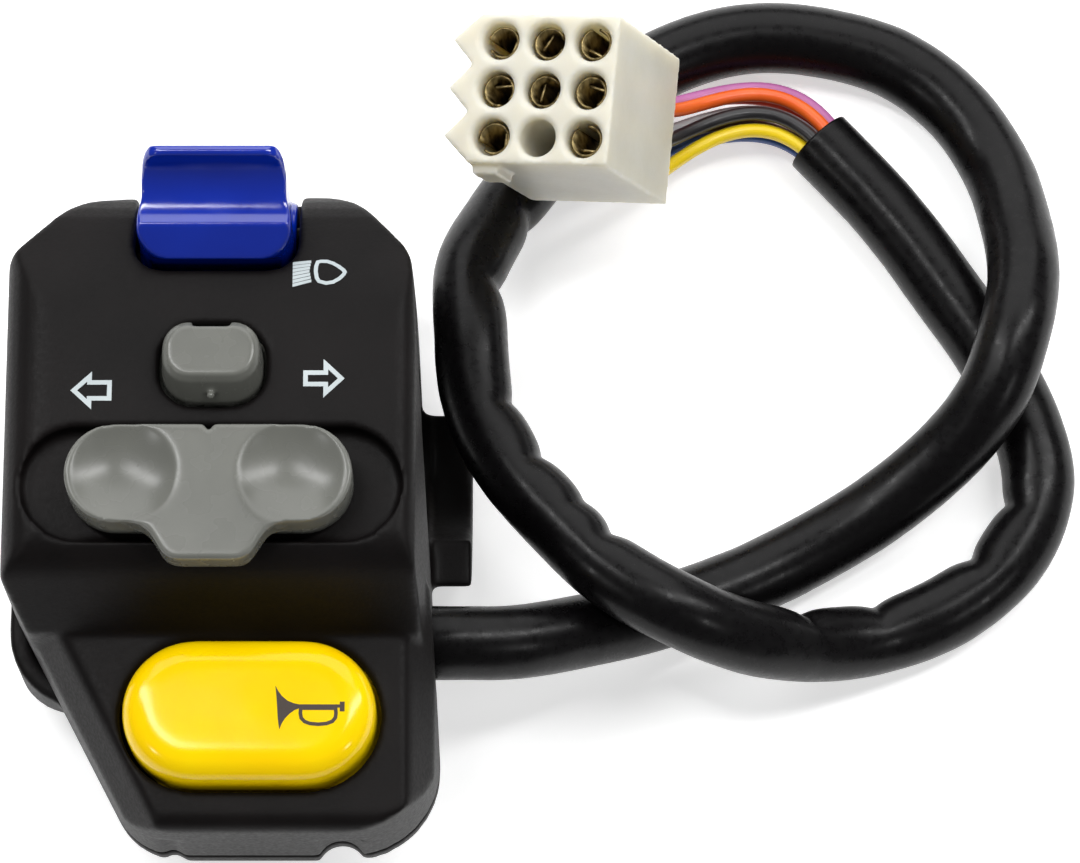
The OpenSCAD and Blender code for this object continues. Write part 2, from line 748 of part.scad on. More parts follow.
// Headlamp rocker: the paddle's side view, seen from its pivot
lip = [-1.9, 11.1];
paddle_top = [4, paddle_h + 0.2];
scoop_mid = (lip + paddle_top) / 2;
scoop_chord = norm(paddle_top - lip);
scoop_arc_r = 4.6;
paddle_back = [paddle_top + [0.6, 0.2], paddle_top + [1.1, -0.2], [5.6, 9], [3.8, 0]];
scoop_c = scoop_mid
    + sqrt(pow(scoop_arc_r, 2) - pow(scoop_chord / 2, 2)) * side_normal(lip, paddle_top);
scoop_a0 = atan2(lip[1] - scoop_c[1], lip[0] - scoop_c[0]);
scoop_a1 = atan2(paddle_top[1] - scoop_c[1], paddle_top[0] - scoop_c[0]);
paddle_side = concat(
    [[-paddle_reach, 0], [-paddle_reach, apron_h],
        [-paddle_reach - apron_lip[0], apron_h + apron_lip[1]]],
    [for (i = [0:12]) let (a = scoop_a0 + (scoop_a1 - scoop_a0) * i / 12)
        scoop_c + scoop_arc_r * [cos(a), sin(a)]],
    paddle_back);
// The rocker seen from above its foot, and seen along the face
plan_x = [rocker_w / 2 + 0.1, paddle_w / 2 + 0.1];
plan_front = pivot_y - paddle_reach - apron_lip[0];
rocker_plan = [
    [-plan_x[0], plan_front, apron_r], [plan_x[0], plan_front, apron_r],
    [plan_x[0], pivot_y + paddle_flare[0], 1], [plan_x[1], pivot_y + paddle_flare[1], 1],
    [plan_x[1], pivot_y + paddle_deep, paddle_corner], [-plan_x[1], pivot_y + paddle_deep, paddle_corner],
    [-plan_x[1], pivot_y + paddle_flare[1], 1], [-plan_x[0], pivot_y + paddle_flare[0], 1]];
rocker_front = [
    [-rocker_w / 2, 0, 0], [rocker_w / 2, 0, 0], [rocker_w / 2, lip[1] - 0.6, 1],
    [paddle_w / 2, lip[1] + 1, 1], [paddle_w / 2 - 0.2, paddle_h + 0.5, paddle_corner],
    [0.2 - paddle_w / 2, paddle_h + 0.5, paddle_corner], [-paddle_w / 2, lip[1] + 1, 1],
    [-rocker_w / 2, lip[1] - 0.6, 1]];
module dip_rocker() {
    color(c_blue) difference() {
        union() {
            intersection() {
                translate([0, pivot_y, pivot_z]) along_x(-far, far) polygon(paddle_side);
                translate([0, 0, pivot_z]) along_y(-far, far) polygon(rounded(rocker_front));
                linear_extrude(far) polygon(rounded(rocker_plan));
            }
            rod_x(run_gap - slot_x, slot_x - run_gap, hub_r, pivot_y, pivot_z);
            block(-leg_x, leg_x, pivot_y - leg_y, pivot_y + leg_y, leg_bottom_z, pivot_z);
        }
        rod_x(-far, far, pivot_d / 2 + pivot_run, pivot_y, pivot_z);
        rod_z(0, pivot_y, leg_bottom_z - 1, plunger_bore_z, plunger_r + plunger_gap);
    }
}
module rocker_pivot_pin() {
    color(c_steel)
        rod_x(-dip_screw_x - cheek_t / 2, dip_screw_x + cheek_t / 2, pivot_d / 2, pivot_y, pivot_z);
}
module dip_plunger() {
    color(c_brass) {
        rod_z(0, pivot_y, plunger_tip_z + plunger_r, plunger_tip_z + plunger_len, plunger_r);
        translate([0, pivot_y, plunger_tip_z + plunger_r]) sphere(plunger_r);
    }
}
module dip_plunger_spring() {
    color(c_steel) coil(0, pivot_y, plunger_tip_z + plunger_len, plunger_bore_z, plunger_coil);
}
module dip_contact_base() {
    post_x = tilt_x + tilt_post_gap + tilt_post_w / 2;
    w = tilt_post_w / 2;
    h = tilt_post_h / 2;
    color(c_base) difference() {
        union() {
            translate([0, 0, dip_base_z]) linear_extrude(base_t) polygon([
                [-dip_base_x, cheek_y0 + dip_base_in], [dip_base_x, cheek_y0 + dip_base_in],
                [dip_base_x, cheek_y1 - dip_base_cut], [dip_base_x - dip_base_cut, cheek_y1],
                [dip_base_cut - dip_base_x, cheek_y1], [-dip_base_x, cheek_y1 - dip_base_cut]]);
            block(-dip_tab[0], dip_tab[0], pivot_y, pivot_y + dip_tab[1], dip_base_z, dip_base_top);
            for (s = [-1, 1]) translate([s * post_x, pivot_y, 0])
                block(-w, w, -h, h, dip_base_top, tilt_z + tilt_post_top);
        }
        rod_x(-far, far, tilt_pin_r + tilt_pin_gap, pivot_y, tilt_z);
        for (s = [-1, 1]) {
            rod_z(s * dip_screw_x, dip_screw_y, 0, far, base_screw_r + base_hole_gap);
            rod_z(0, pivot_y + s * dip_rivet_y, 0, far, rivet_r + pilot_gap);
        }
    }
}
module dip_fixed_contacts() {
    color(c_brass) for (s = [-1, 1]) rivet(0, pivot_y + s * dip_rivet_y, dip_base_z, dip_rivet_h);
}
module dip_tilt_contact() {
    color(c_brass) {
        block(-tilt_x, tilt_x, pivot_y - tilt_y, pivot_y + tilt_y,
            tilt_z + tilt_lift, tilt_z + tilt_lift + tilt_t);
        rod_x(-tilt_x - tilt_pin_end, tilt_x + tilt_pin_end, tilt_pin_r, pivot_y, tilt_z);
    }
}

// Turn slider
module knob_outline(tail) {
    h = wing_h / 2;
    w = tongue_w / 2;
    corners = concat(
        [[-knob_w / 2, h, h - tip_gap], [-knob_w / 2, -h, h - tip_gap]],
        tail > 0 ? [
            [-w - tongue_flare, -h, tongue_fillet], [-w, -h - tail, tongue_corner],
            [w, -h - tail, tongue_corner], [w + tongue_flare, -h, tongue_fillet]] : [],
        [[knob_w / 2, -h, h - tip_gap], [knob_w / 2, h, h - tip_gap]]);
    polygon(rounded(corners, 8));
}
module turn_slider() {
    color(c_grey) difference() {
        union() {
            translate([0, pocket_y, knob_under_z]) linear_extrude(knob_top_z - knob_under_z)
                knob_outline(0);
            translate([0, pocket_y, tongue_under_z]) linear_extrude(knob_top_z - tongue_under_z)
                knob_outline(tongue_len);
            block(-stem_x, stem_x, pocket_y - stem_y, pocket_y + stem_y, carriage_top_z, knob_top_z - 1);
        }
        for (s = [-1, 1])
            translate([s * (knob_w / 2 - scoop_in), pocket_y, knob_top_z - scoop_sink + scoop_r])
                sphere(scoop_r);
        translate([0, pocket_y + wing_h / 2, 0]) linear_extrude(far)
            polygon([[-0.6, 0.1], [0.6, 0.1], [0, -0.7]]);
        rod_z(0, pocket_y, carriage_top_z - 1, carriage_z + carriage_head_h + carriage_screw_len,
            carriage_screw_r + pilot_gap);
    }
}
module turn_carriage() {
    color(c_nylon) difference() {
        block(-carriage_x, carriage_x, pocket_y - carriage_y, pocket_y + carriage_y,
            carriage_z, carriage_top_z);
        rod_z(0, pocket_y, 0, far, carriage_screw_r + carriage_hole_gap);
        rod_z(0, pocket_y, 0, carriage_z + carriage_head_lift + carriage_head_h,
            carriage_head_r + carriage_hole_gap);
        rod_z(ball_x, pocket_y + ball_y, 0, carriage_z + ball_bore_h, ball_r + ball_gap);
    }
}
module turn_carriage_screw() {
    seat = carriage_z + carriage_head_lift + carriage_head_h;
    color(c_steel) difference() {
        union() {
            rod_z(0, pocket_y, seat - carriage_head_h, seat, carriage_head_r);
            rod_z(0, pocket_y, seat, seat + carriage_screw_len - screw_end_gap, carriage_screw_r);
        }
        driver_slot(0, pocket_y, seat - carriage_head_h);
    }
}
module turn_bridge() {
    color(c_brass) block(
        -carriage_x + 1, carriage_x - 1, pocket_y + turn_bridge_y - 1, pocket_y + turn_bridge_y + 1,
        carriage_z - bridge_t, carriage_z);
}
module detent_ball() {
    color(c_steel) translate([ball_x, pocket_y + ball_y, ball_z]) sphere(ball_r);
}
module detent_spring() {
    color(c_steel)
        coil(ball_x, pocket_y + ball_y, ball_z + ball_r, carriage_z + ball_bore_h, detent_coil);
}
module turn_contact_base() {
    color(c_base) difference() {
        block(-turn_base_x, turn_base_x, pocket_y - turn_base_low, pocket_y + turn_base_high,
            turn_base_z, turn_base_top);
        for (s = [-1, 1]) rod_z(s * turn_post_x, pocket_y, 0, far, base_screw_r + base_hole_gap);
        for (i = [-1:1]) {
            rod_z(i * turn_rivet_x, pocket_y + turn_bridge_y, 0, far, rivet_r + pilot_gap);
            translate([ball_x + i * slide_travel, pocket_y + ball_y, ball_z]) sphere(ball_r + cup_gap);
        }
    }
}
module turn_fixed_contacts() {
    color(c_brass) for (i = [-1:1])
        rivet(i * turn_rivet_x, pocket_y + turn_bridge_y, turn_base_z, turn_rivet_top - turn_base_top);
}

// Cancel button
module cancel_plan(w, h) {
    round_rect(w, h, cancel_round * h);
}
module cancel_button() {
    top = face_z + cancel_rise;
    color(c_grey) {
        difference() {
            hull() {
                translate([0, cancel_y, cancel_flange_z]) linear_extrude(face_z - cancel_flange_z)
                    cancel_plan(cancel_w, cancel_h);
                translate([0, cancel_y + cancel_lean, face_z]) linear_extrude(cancel_rise - cancel_crown)
                    cancel_plan(cancel_w - 0.4, cancel_h - 1.6);
                translate([0, cancel_y + cancel_lean, face_z]) linear_extrude(cancel_rise)
                    cancel_plan(cancel_w - 1.6, cancel_h - 2.8);
            }
            translate([0, cancel_y + cancel_h / 2 + 0.1, top]) cube(cancel_notch, center = true);
        }
        translate([0, cancel_y, cancel_flange_z]) linear_extrude(cancel_flange_t)
            cancel_plan(cancel_w + 2 * cancel_flange, cancel_h + 2 * cancel_flange);
        rod_z(0, cancel_y, cancel_flange_z - cancel_travel - 0.2, cancel_flange_z + 1, cancel_pin_r);
    }
}
module cancel_spring() {
    color(c_steel) coil(0, cancel_y, cancel_seat_z, cancel_flange_z, cancel_coil);
}

// Horn button
module horn_button() {
    top = panel_z + horn_rise;
    color(c_yellow) translate([horn_x, horn_y, 0]) {
        hull() {
            translate([0, 0, horn_flange_z]) linear_extrude(top - horn_round - horn_flange_z)
                stadium(horn_w, horn_h, $fn = 32);
            for (a = [30, 60, 90]) {
                cut = 2 * horn_round * (1 - cos(a));
                translate([0, 0, top - horn_round]) linear_extrude(horn_round * sin(a) * 0.9)
                    stadium(horn_w - cut, horn_h - cut, $fn = 32);
            }
        }
        intersection() {
            translate([0, 0, horn_flange_z]) linear_extrude(horn_flange_t)
                stadium(horn_w + 2 * horn_flange, horn_h + 2 * horn_flange);
            translate([-outboard_w - horn_x, slant_y - horn_y, 0]) rotate([0, 0, slant_angle])
                block(horn_flange_in, far, -far, far, 0, far);
        }
        rod_z(0, 0, horn_flange_z - horn_travel, horn_flange_z + 1, horn_pin_r);
        for (s = [-1, 1])
            rod_z(s * horn_leg_x, horn_bridge_y, horn_flange_z - horn_bridge_drop, horn_flange_z + 1,
                horn_leg_r);
    }
}
module horn_bridge() {
    z = horn_flange_z - horn_bridge_drop;
    color(c_brass) translate([horn_x, horn_y + horn_bridge_y, z - bridge_t]) block(
        -horn_bridge_x, horn_bridge_x, -horn_bridge_half, horn_bridge_half, 0, bridge_t);
}
module horn_spring() {
    color(c_steel) coil(horn_x, horn_y, horn_base_top, horn_flange_z, horn_coil);
}
module horn_contact_base() {
    color(c_base) difference() {
        translate([horn_x, horn_y, 0]) {
            block(-horn_tabs[0], horn_tabs[1], -horn_tab_y, horn_tab_y, horn_base_z, horn_base_top);
            block(-horn_plate_x, horn_plate_x, -horn_plate_y, horn_plate_y, horn_base_z, horn_base_top);
        }
        for (x = horn_screws) rod_z(x, horn_y, 0, far, base_screw_r + base_hole_gap);
        for (s = [-1, 1])
            rod_z(horn_x + s * horn_rivet_x, horn_y + horn_bridge_y, 0, far, rivet_r + pilot_gap);
    }
}
module horn_fixed_contacts() {
    head_h = horn_flange_z - horn_bridge_drop - bridge_t - horn_travel - horn_contact_gap
        - horn_base_top;
    color(c_brass) for (s = [-1, 1])
        rivet(horn_x + s * horn_rivet_x, horn_y + horn_bridge_y, horn_base_z, head_h);
}
module base_screws() {
    color(c_steel) {
        for (s = [-1, 1]) {
            base_screw(s * dip_screw_x, dip_screw_y, dip_base_z, base_t + base_grip);
            base_screw(s * turn_post_x, pocket_y, turn_base_z, base_t + base_grip);
        }
        for (x = horn_screws) base_screw(x, horn_y, horn_base_z, base_t + horn_grip);
    }
}

// Harness
module cable_tie() {
    r = sleeve_d / 2 + tie_gap;
    color(c_sleeve) difference() {
        union() {
            rod_x(tie_x, tie_x + tie_w, r + tie_t, cable_y, 0);
            block(tie_x, tie_x + tie_head[0], cable_y - tie_head[1] / 2, cable_y + tie_head[1] / 2,
                -r - tie_head[2], 0);
        }
        rod_x(-far, far, r, cable_y, 0);
    }
}
module harness_sleeve() {
    color(c_sleeve) tube(smooth(sleeve_route, sleeve_steps), sleeve_d, sleeve_sides);
}

// Connector: x and y across its face, z from its back to its face
cells = [for (j = [1, 0, -1], i = [-1:1]) if ([i, j] != empty_cavity) [i, j]];
function turn_x(v, a) = [v[0], v[1] * cos(a) - v[2] * sin(a), v[1] * sin(a) + v[2] * cos(a)];
function turn_y(v, a) = [v[0] * cos(a) + v[2] * sin(a), v[1], v[2] * cos(a) - v[0] * sin(a)];
function turn_z(v, a) = [v[0] * cos(a) - v[1] * sin(a), v[0] * sin(a) + v[1] * cos(a), v[2]];
function plug_way(v) = turn_z(turn_y(turn_x(v, plug_turn[0]), plug_turn[1]), plug_turn[2]);
module in_plug() {
    translate(plug_at) rotate(plug_turn) children();
}
module connector_housing() {
    teeth = [for (j = [1, 0, -1]) each [
        [-plug_half - plug_tooth, j * pin_pitch], [-plug_half, (j - 0.5) * pin_pitch]]];
    color(c_nylon) in_plug() difference() {
        union() {
            linear_extrude(connector_len) polygon(concat(
                [[plug_half, -plug_half], [plug_half, plug_half], [plug_lead - plug_half, plug_half]],
                [for (i = [0:4]) teeth[i]], [[plug_lead - plug_half, -plug_half]]));
            block(latch_x[0], latch_x[1], -plug_half - latch_h, 0, connector_len - latch_z[0],
                connector_len - latch_z[1]);
        }
        for (i = [-1:1], j = [-1:1]) translate([i * pin_pitch, j * pin_pitch, 0]) {
            rod_z(0, 0, [i, j] == empty_cavity ? cavity_floor : -1, connector_len + 1, cavity_r);
            translate([0, 0, connector_len - cavity_mouth])
                cylinder(h = cavity_mouth, r1 = cavity_r, r2 = cavity_r + cavity_mouth);
        }
    }
}
module connector_sockets() {
    color(c_brass) in_plug() for (c = cells) translate([c[0] * pin_pitch, c[1] * pin_pitch, 0])
        difference() {
            rod_z(0, 0, socket_back, connector_len - socket_in, socket_r);
            rod_z(0, 0, socket_back + 2, connector_len, socket_bore_r);
        }
}
// A wire from its socket, out of the connector's back and round into the sleeve's end, where the wires lie
// in a ring: turn 0 is across the sleeve in the table's plane, and 90 is on top
function bezier(a, b, c, d, n) = [for (i = [0:n]) let (t = i / n, s = 1 - t)
    s * s * s * a + 3 * s * s * t * b + 3 * s * t * t * c + t * t * t * d];
module wire(cell, ring, turn) {
    place = pin_pitch * [cell[0], cell[1], 0];
    back = plug_at + plug_way(place);
    gathered = plug_at + plug_way(wire_gather * place - [0, wire_sag, wire_drop]);
    across = ring * cos(turn);
    home = sleeve_end + wire_end_gap * sleeve_way + across * cross([0, 0, 1], -sleeve_way)
        + [0, 0, ring * sin(turn)];
    bowed = home + wire_pull * sleeve_way + [0, wire_fan * across, 0];
    tube(concat([back + plug_way([0, 0, socket_back])], bezier(back, gathered, bowed, home, wire_steps)),
        wire_d, wire_sides);
}
module wire_pink() { color("#c05a86") wire([0, 1], wire_ring, 10); }
module wire_orange() { color("#d9731c") wire([1, 1], wire_ring, 62); }
module wire_red() { color("#b3261e") wire([-1, 1], wire_ring, 318); }
module wire_black() { color("#1b1a1c") wire([1, 0], wire_ring, 110); }
module wire_grey() { color("#8a8c8e") wire([0, 0], 0, 0); }
module wire_yellow() { color("#e3c21a") wire([1, -1], wire_ring, 156); }
module wire_blue() { color("#2450a8") wire([-1, -1], wire_ring, 200); }
module wire_brown() { color("#5b3a26") wire([-1, 0], wire_ring, 245); }

front_housing();
rear_housing();
clamp_screws();
clamp_inserts();
rocker_pivot_pin();
dip_contact_base();
dip_fixed_contacts();
dip_rocker();
dip_plunger();
dip_plunger_spring();
dip_tilt_contact();
turn_contact_base();
turn_fixed_contacts();
turn_slider();
turn_carriage();
turn_carriage_screw();
turn_bridge();
detent_ball();
detent_spring();
cancel_button();
cancel_spring();
horn_contact_base();
horn_fixed_contacts();
horn_button();
horn_bridge();
horn_spring();
base_screws();
cable_tie();
harness_sleeve();
wire_pink();
wire_orange();
wire_red();
wire_black();
wire_grey();
wire_yellow();
wire_blue();
wire_brown();
connector_housing();
connector_sockets();
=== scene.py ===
import json
import math

import bmesh
import bpy
from mathutils import Euler, Matrix, Vector, noise
from mathutils.bvhtree import BVHTree
from mathutils.kdtree import KDTree

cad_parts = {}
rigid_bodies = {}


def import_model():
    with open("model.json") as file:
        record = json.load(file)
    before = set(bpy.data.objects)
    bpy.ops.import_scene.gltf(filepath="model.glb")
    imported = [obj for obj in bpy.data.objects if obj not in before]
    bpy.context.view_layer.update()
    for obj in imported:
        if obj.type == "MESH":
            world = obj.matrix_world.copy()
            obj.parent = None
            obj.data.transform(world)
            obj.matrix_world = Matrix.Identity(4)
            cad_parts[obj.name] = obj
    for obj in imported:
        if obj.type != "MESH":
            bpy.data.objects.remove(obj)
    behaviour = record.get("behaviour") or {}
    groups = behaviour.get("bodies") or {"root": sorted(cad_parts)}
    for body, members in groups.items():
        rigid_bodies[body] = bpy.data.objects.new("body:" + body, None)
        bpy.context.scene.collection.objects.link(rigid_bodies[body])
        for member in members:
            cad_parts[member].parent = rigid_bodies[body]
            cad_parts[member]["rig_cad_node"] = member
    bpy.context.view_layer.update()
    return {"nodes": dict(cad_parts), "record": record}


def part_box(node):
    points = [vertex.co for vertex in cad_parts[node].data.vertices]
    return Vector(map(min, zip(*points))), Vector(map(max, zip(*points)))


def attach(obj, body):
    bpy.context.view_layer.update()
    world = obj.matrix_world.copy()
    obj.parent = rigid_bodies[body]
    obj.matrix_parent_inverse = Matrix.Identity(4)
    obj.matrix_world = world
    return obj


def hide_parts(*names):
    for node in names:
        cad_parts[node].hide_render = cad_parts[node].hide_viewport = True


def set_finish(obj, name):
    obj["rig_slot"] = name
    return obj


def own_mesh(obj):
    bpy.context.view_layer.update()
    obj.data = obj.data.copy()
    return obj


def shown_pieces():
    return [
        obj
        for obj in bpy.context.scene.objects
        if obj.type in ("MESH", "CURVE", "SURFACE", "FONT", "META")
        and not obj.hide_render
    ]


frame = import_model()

scene = bpy.context.scene
mm = 0.001
weld = 0.001 * mm  # points closer than this are one
print("frame loaded,", len(frame["nodes"]), "nodes")


# Small helpers

def linear(hexText):
    parts = [int(hexText[i:i + 2], 16) / 255 for i in (1, 3, 5)]
    light = [c / 12.92 if c <= 0.04045 else ((c + 0.055) / 1.055) ** 2.4 for c in parts]
    return (*light, 1.0)


def addObject(name, mesh, body, slot=None, replaced=()):
    made = bpy.data.objects.new(name, mesh)
    scene.collection.objects.link(made)
    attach(made, body)
    if slot:
        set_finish(made, slot)
    if replaced:
        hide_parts(*replaced)
    return made


def meshFrom(bm, name, smooth=True):
    mesh = bpy.data.meshes.new(name)
    bm.to_mesh(mesh)
    bm.free()
    if smooth:
        mesh.shade_smooth()
    return mesh


def evaluated(obj):
    graph = bpy.context.evaluated_depsgraph_get()
    return bpy.data.meshes.new_from_object(obj.evaluated_get(graph), depsgraph=graph)


def closeShell(bm):
    bmesh.ops.holes_fill(bm, edges=[e for e in bm.edges if e.is_boundary], sides=0)
    bmesh.ops.recalc_face_normals(bm, faces=bm.faces)


# Camera: the long lens of the photo, looking down on the face from the horn's side
cameraSet = {
    "at": (32.4, -143.3, 499.9),
    "lookAt": (32.4, 0.0, 0.0),
    "lens": 167.5,
    "sensor": 36,
    "clipEnd": 10,  # metres
}
cameraData = bpy.data.cameras.new("photoCamera")
cameraData.lens = cameraSet["lens"]
cameraData.sensor_fit = "HORIZONTAL"
cameraData.sensor_width = cameraSet["sensor"]
cameraData.clip_end = cameraSet["clipEnd"]
camera = bpy.data.objects.new("photoCamera", cameraData)
scene.collection.objects.link(camera)
camera.location = Vector(cameraSet["at"]) * mm
towards = Vector(cameraSet["lookAt"]) - Vector(cameraSet["at"])
camera.rotation_euler = towards.to_track_quat("-Z", "Y").to_euler()
scene.camera = camera
print("camera set")


# Harness sleeve: a limp PVC tube on the same route as its solid
sleeveSet = {
    "diameter": 7.6,
    "exit": (22.3, -22.5, 0.0),
    "step": 20,  # points between two route points
    "bevel": 18,
    "reach": 30,  # points each way over which a bend is read
    "straight": 0.0001,  # a bend flatter than this has no inside
    # folds on the inside of the bends: how far along the sleeve, and how deep
    "folds": [(175.3, 0.75), (186.9, 0.95), (201.4, 0.7), (209.3, 0.85), (216.3, 0.6), (221.0, 0.95),
              (247.0, 0.95), (257.0, 0.8), (270.3, 0.95), (279.0, 0.9)],
    "foldGain": 1.9,  # makes up for the round bottom and the swelling
    "foldWidth": 1.6,
    "foldRound": 0.45,  # how soft the bottom of a fold is
    "foldFocus": 1.2,  # how closely a fold keeps to the inside of its bend
    "bulge": 0.3,  # how far the sleeve swells beside a fold, as a share of its depth
    "bulgeWidth": 4.0,
    "lump": 0.05,  # how far the wires inside show through
    "lumpsPerMetre": (160, 420),
    "endWall": 0.8,
    "endDepth": 7.0,
    "route": [
        (14.5, -22.5, 0), (17, -22.5, 0), (19.5, -22.5, 0), (23.5, -22.5, 0),
        (30, -22, -1.6), (37, -20, -5), (44, -17.5, -8.4),
        (51, -14.5, -10.9), (58.5, -10.8, -12.1), (67, -6, -11.2), (74.5, -0.5, -8.4), (79.5, 5, -5),
        (82, 11.5, -3.6), (83.4, 18.5, -5.2), (83, 25.5, -8.2), (81.2, 33, -11), (77, 40, -12.2),
        (70.5, 45, -12.2), (62, 47.5, -12.2), (53.5, 47.6, -12.2), (45.5, 44.8, -12.2), (38.5, 40, -12),
        (32.5, 33, -10.8), (28.2, 26, -7.6), (25.2, 19, -4), (25.1, 11.5, -2.2), (25.9, 4, -1.8),
        (29, -3, -1), (34, -9.4, 0.1), (40, -15.4, 0.8), (47, -19.3, 0.2), (54, -21, -4),
        (61, -20.6, -9), (68, -19, -12), (75.5, -16, -12.2), (82, -10.3, -12.2), (85, -3, -12.2),
        (84, 4, -12.2), (80.6, 11.5, -12.2), (75.6, 19.3, -12.2), (69.5, 28, -12.2), (62.4, 36, -12.2)],
}


def smoothLine(points, steps):
    line = []
    for i in range(len(points) - 1):
        a, b = points[max(i - 1, 0)], points[i]
        c, d = points[i + 1], points[min(i + 2, len(points) - 1)]
        for j in range(steps):
            t = j / steps
            line.append((2 * b + (c - a) * t + (2 * a - 5 * b + 4 * c - d) * t * t
                         + (3 * b - a - 3 * c + d) * t ** 3) / 2)
    return line + [points[-1]]


def tubeMesh(name, line, radius, bevel, caps):
    curve = bpy.data.curves.new(name, "CURVE")
    curve.dimensions = "3D"
    curve.bevel_depth = radius
    curve.bevel_resolution = bevel
    curve.use_fill_caps = caps
    spline = curve.splines.new("POLY")
    spline.points.add(len(line) - 1)
    for point, place in zip(spline.points, line):
        point.co = (*place, 1)
    holder = bpy.data.objects.new(name, curve)
    scene.collection.objects.link(holder)
    mesh = evaluated(holder)
    bpy.data.objects.remove(holder)
    return mesh


def foldAt(along, spec):
    fold = 0
    for at, depth in spec["folds"]:
        off = math.hypot(along - at, spec["foldRound"])
        swell = spec["bulge"] * math.exp(-off / spec["bulgeWidth"])
        fold += spec["foldGain"] * depth * (math.exp(-off / spec["foldWidth"]) - swell)
    return fold


# Folds on the inner edge of the flat loops, and the faint lumps of the wires inside
def creaseSleeve(bm, line, spec):
    tree = KDTree(len(line))
    for i, place in enumerate(line):
        tree.insert(place, i)
    tree.balance()
    along = [0.0]
    for a, b in zip(line, line[1:]):
        along.append(along[-1] + (b - a).length)
    for v in bm.verts:
        place, i, _ = tree.find(v.co)
        before = line[max(i - spec["reach"], 0)]
        after = line[min(i + spec["reach"], len(line) - 1)]
        bend = (before + after) / 2 - place
        bend.z = 0  # the loops lie flat, so a fold faces the middle of its loop
        way = (after - before).normalized()
        outward = v.co - place
        outward -= way * outward.dot(way)
        outward.normalize()
        bent = bend.length > spec["straight"] * mm
        inside = max(outward.dot(bend.normalized()), 0) if bent else 0
        fold = foldAt(along[i] / mm, spec) * inside ** spec["foldFocus"]
        coarse, fine = [noise.noise(v.co * count) for count in spec["lumpsPerMetre"]]
        v.co += outward * (spec["lump"] * (coarse + fine / 2) - fold) * mm


# The far end is cut open, with the wall's thickness showing
def openEnd(bm, line, spec):
    radius = spec["diameter"] / 2 * mm
    end, way = line[-1], (line[-1] - line[-2]).normalized()
    rim = [e for e in bm.edges if e.is_boundary and (e.verts[0].co - end).length < 2 * radius]
    for scale, push in ((1 - spec["endWall"] * mm / radius, 0), (1, -spec["endDepth"] * mm)):
        new = bmesh.ops.extrude_edge_only(bm, edges=rim)["geom"]
        rim = [g for g in new if isinstance(g, bmesh.types.BMEdge) and g.is_boundary]
        for v in (g for g in new if isinstance(g, bmesh.types.BMVert)):
            v.co = end + (v.co - end) * scale + way * push


def makeSleeve(spec):
    line = smoothLine([Vector(p) * mm for p in spec["route"]], spec["step"])
    bm = bmesh.new()
    bm.from_mesh(tubeMesh("sleeveTube", line, spec["diameter"] / 2 * mm, spec["bevel"], False))
    bmesh.ops.remove_doubles(bm, verts=bm.verts, dist=weld)
    creaseSleeve(bm, line, spec)
    openEnd(bm, line, spec)
    closeShell(bm)
    return meshFrom(bm, "harnessSleeve"), line


sleeveMesh, sleeveLine = makeSleeve(sleeveSet)
harnessSleeve = addObject("harnessSleeve", sleeveMesh, "housing", "sleeve_pvc", ["harness_sleeve"])


# Wires: from the back of the connector round into the open end of the sleeve
plugSet = {"at": (39.1, 33.4, -1), "turn": (8.6, -19.2, -8.5), "pitch": 5.03}
plugTurn = Euler([math.radians(a) for a in plugSet["turn"]], "XYZ").to_matrix().to_4x4()
plugFrame = Matrix.Translation(Vector(plugSet["at"])) @ plugTurn
wireSet = {
    "diameter": 1.5,
    "steps": 32,
    "bevel": 6,
    "ring": 2.15,  # radius on which the wires lie in the sleeve's end
    "pull": 12.0,  # how far a wire keeps the sleeve's direction
    "fan": 1.0,
    "drop": 10.0,  # how far it keeps the connector's direction
    "sag": 3.0,
    "gather": 0.42,  # how far the wires have drawn together there
    "endGap": 0.15,
    "inside": 5.0,  # how far each wire shows on into the sleeve and the socket
    "socket": 4.0,
    # cavity, and the turn round the ring in the sleeve's end; one wire lies in the middle
    "ends": {
        "pink": ((0, 1), 10), "orange": ((1, 1), 62), "red": ((-1, 1), 318), "black": ((1, 0), 110),
        "grey": ((0, 0), None), "yellow": ((1, -1), 156), "blue": ((-1, -1), 200),
        "brown": ((-1, 0), 245)},
}


def wireLine(cell, turn, spec):
    end = Vector(sleeveSet["route"][-1])
    way = (end - Vector(sleeveSet["route"][-2])).normalized()
    place = plugSet["pitch"] * Vector((*cell, 0))
    start = plugFrame @ (place + Vector((0, 0, spec["socket"])))
    back = plugFrame @ place
    gathered = plugFrame @ (spec["gather"] * place - Vector((0, spec["sag"], spec["drop"])))
    ring = 0 if turn is None else spec["ring"]
    across, lift = [ring * f(math.radians(turn or 0)) for f in (math.cos, math.sin)]
    side = Vector((0, 0, 1)).cross(-way)
    home = end + spec["endGap"] * way + across * side + Vector((0, 0, lift))
    bowed = home + spec["pull"] * way + Vector((0, spec["fan"] * across, 0))
    line = [start, (start + back) / 2]
    for i in range(spec["steps"] + 1):
        t = i / spec["steps"]
        line.append((1 - t) ** 3 * back + 3 * (1 - t) ** 2 * t * gathered
                    + 3 * (1 - t) * t * t * bowed + t ** 3 * home)
    line.append(home - way * spec["inside"])
    return [p * mm for p in line]


for colour, (cell, turn) in wireSet["ends"].items():
    line = wireLine(cell, turn, wireSet)
    mesh = tubeMesh("wire_" + colour + "_pvc", line, wireSet["diameter"] / 2 * mm, wireSet["bevel"], True)
    mesh.shade_smooth()
    addObject("wirePvc_" + colour, mesh, "housing", "pvc_" + colour, ["wire_" + colour])


